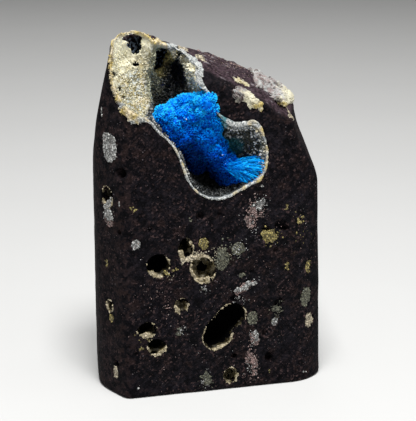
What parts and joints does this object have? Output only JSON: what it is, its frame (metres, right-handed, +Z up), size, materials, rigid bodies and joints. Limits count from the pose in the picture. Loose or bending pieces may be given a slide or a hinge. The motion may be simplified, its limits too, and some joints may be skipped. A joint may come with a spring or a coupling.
{
  "type": "cavansite specimen on basalt",
  "caption": "Upright sawn block of dark vesicular basalt with a zeolite-lined open pocket that holds a vivid blue knobbly crystal cluster; pale crusts on its broken top.",
  "frame": {"origin": "middle of the flat sawn base", "axes": "+Z up along the block's height, -Y out of the display face with the open pocket"},
  "size_m": [0.0391, 0.0258, 0.0599],
  "materials": {
    "basalt": "sawn, matt, fine speckle",
    "zeolite": "granular cream druse",
    "cavansite": "small glassy blades",
    "white_zeolite": "granular white",
    "celadon": "granular grey-green",
    "gold_zeolite": "granular yellow",
    "pink_zeolite": "granular pinkish grey"
  },
  "bodies": {
    "root": {"basalt_matrix": "basalt", "pocket_lining": "zeolite", "cavansite": "cavansite", "ridge_crust": "zeolite", "fan_crust": "zeolite", "strip_crust": "zeolite", "bean_lining": "zeolite", "round_lining": "zeolite", "twin_lining": "zeolite", "ring_lining": "zeolite", "olive_lining": "zeolite", "star_lining": "zeolite", "base_lining": "zeolite", "lower_lining": "zeolite", "upper_lining": "zeolite", "side_lining": "zeolite", "back_deep_lining": "zeolite", "back_low_lining": "zeolite", "white_plug": "white_zeolite", "pink_plug": "pink_zeolite", "pale_spot": "white_zeolite", "tan_plug": "gold_zeolite", "green_plug": "celadon", "moss_plug": "celadon", "olive_plug": "celadon", "pink_streak": "pink_zeolite", "pink_grain": "pink_zeolite", "gold_plug": "gold_zeolite", "small_plug": "white_zeolite", "ringed_plug": "zeolite", "grey_plug": "celadon", "amber_plug": "gold_zeolite", "star_plug": "gold_zeolite", "cream_plug": "zeolite", "back_plug": "zeolite", "back_spot": "celadon"}
  },
  "joints": []
}
